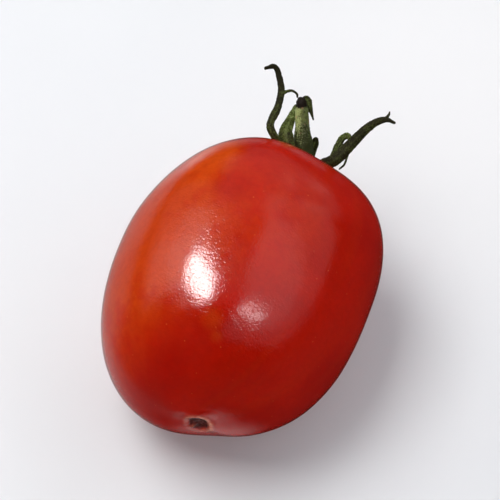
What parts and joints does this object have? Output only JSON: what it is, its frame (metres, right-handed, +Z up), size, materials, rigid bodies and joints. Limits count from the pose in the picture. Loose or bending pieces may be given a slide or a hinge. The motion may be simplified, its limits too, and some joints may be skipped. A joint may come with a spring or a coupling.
{
  "type": "plum tomato",
  "caption": "Whole ripe plum tomato on its side: stubby, softly lobed egg-shaped fruit with a sunken blossom scar, a curling green calyx and a short stem stub.",
  "frame": {"origin": "middle of the small flat spot that the fruit rests on, straight below its centre of mass", "axes": "+Y along the fruit towards its stem end, +Z up out of the surface that it rests on"},
  "size_m": [0.0556, 0.0798, 0.0555],
  "materials": {
    "skin": "gloss",
    "calyx": "matt",
    "stem": "matt"
  },
  "bodies": {
    "root": {"fruit": "skin", "calyx": "calyx", "stem": "stem"}
  },
  "joints": []
}
